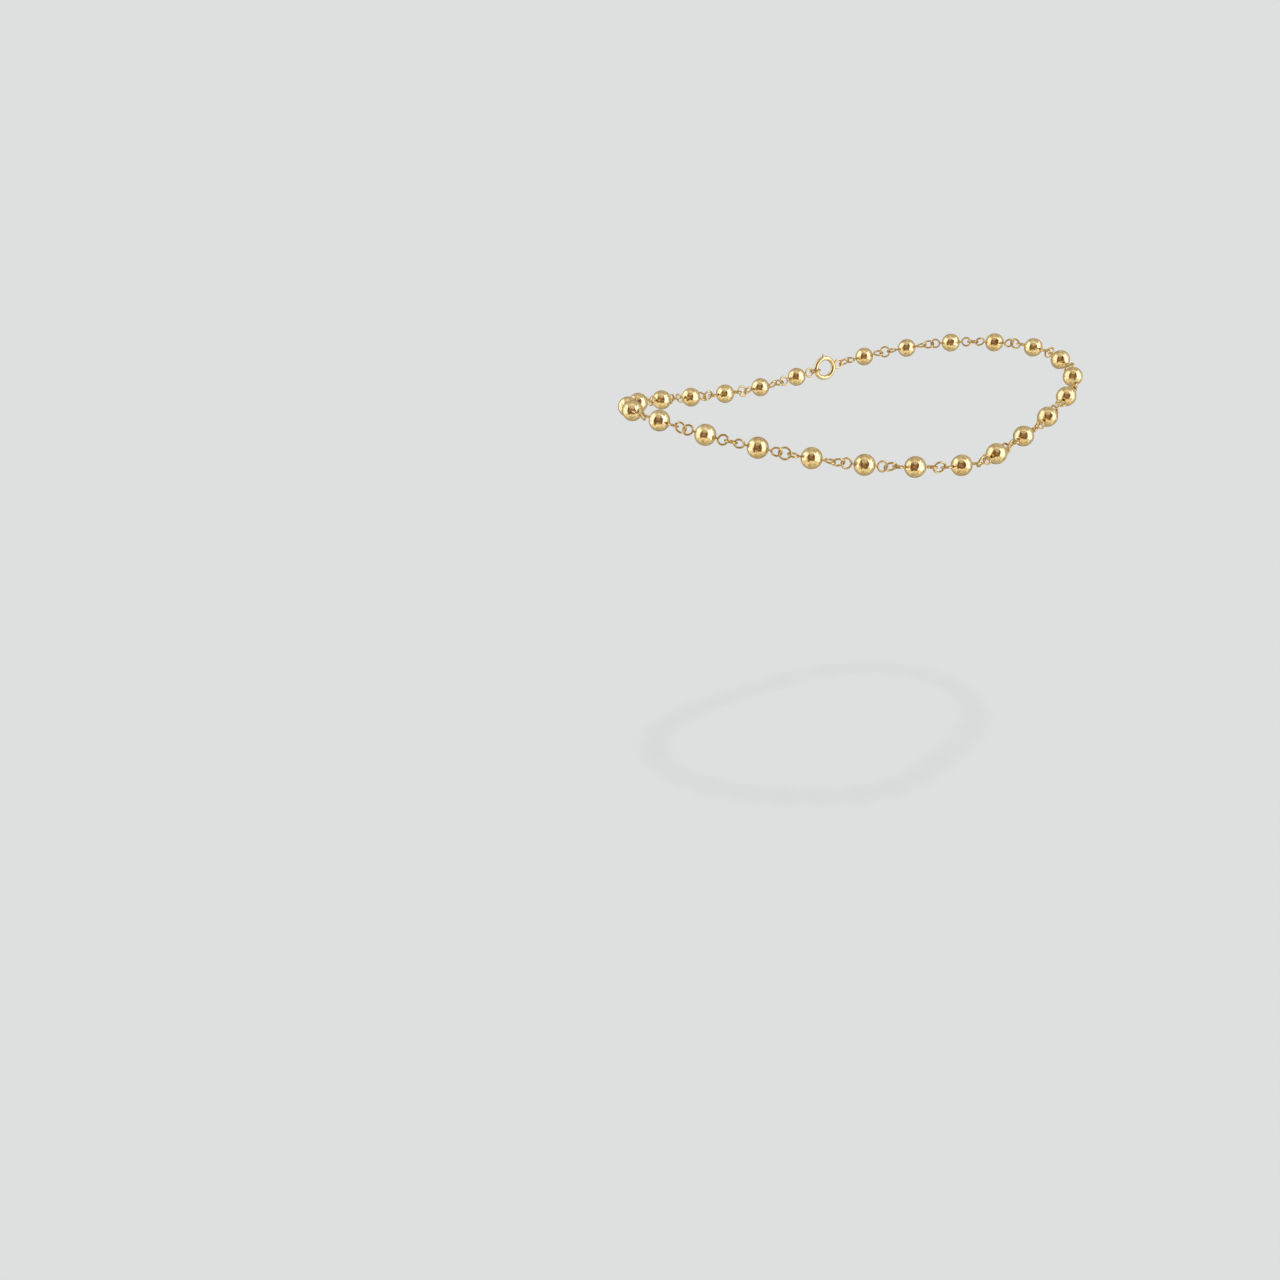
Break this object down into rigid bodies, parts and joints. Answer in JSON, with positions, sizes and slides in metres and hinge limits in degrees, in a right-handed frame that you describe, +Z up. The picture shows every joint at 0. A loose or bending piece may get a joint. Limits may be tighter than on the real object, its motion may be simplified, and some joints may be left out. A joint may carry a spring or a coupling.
{
  "type": "anklet",
  "caption": "Gold ball-bead anklet: polished balls on eye pins joined by round wire links, closed by a plain ring clasp and held open as worn round an ankle.",
  "frame": {"origin": "middle of the ankle opening, at the mean height of the chain", "axes": "+Z up the leg; -X towards the toes and +X towards the heel; -Y is the side of the ankle that faced the viewer"},
  "size_m": [0.1033, 0.0699, 0.0138],
  "materials": {
    "ball_gold": "mirror-polished yellow gold plate",
    "wire_gold": "bright drawn gold wire with fine draw marks",
    "clasp_gold": "polished yellow gold plate"
  },
  "bodies": {
    "root": {"bead_01": "ball_gold", "bead_02": "ball_gold", "bead_03": "ball_gold", "bead_04": "ball_gold", "bead_05": "ball_gold", "bead_06": "ball_gold", "bead_07": "ball_gold", "bead_08": "ball_gold", "bead_09": "ball_gold", "bead_10": "ball_gold", "bead_11": "ball_gold", "bead_12": "ball_gold", "bead_13": "ball_gold", "bead_14": "ball_gold", "bead_15": "ball_gold", "bead_16": "ball_gold", "bead_17": "ball_gold", "bead_18": "ball_gold", "bead_19": "ball_gold", "bead_20": "ball_gold", "bead_21": "ball_gold", "bead_22": "ball_gold", "bead_23": "ball_gold", "bead_24": "ball_gold", "bead_25": "ball_gold", "bead_26": "ball_gold", "link_01": "wire_gold", "link_02": "wire_gold", "link_03": "wire_gold", "link_04": "wire_gold", "link_05": "wire_gold", "link_06": "wire_gold", "link_07": "wire_gold", "link_08": "wire_gold", "link_09": "wire_gold", "link_10": "wire_gold", "link_11": "wire_gold", "link_12": "wire_gold", "link_13": "wire_gold", "link_14": "wire_gold", "link_15": "wire_gold", "link_16": "wire_gold", "link_17": "wire_gold", "link_18": "wire_gold", "link_19": "wire_gold", "link_20": "wire_gold", "link_21": "wire_gold", "link_22": "wire_gold", "link_23": "wire_gold", "link_24": "wire_gold", "link_25": "wire_gold", "link_26": "wire_gold", "clasp": "clasp_gold", "clasp_link": "wire_gold"}
  },
  "joints": []
}
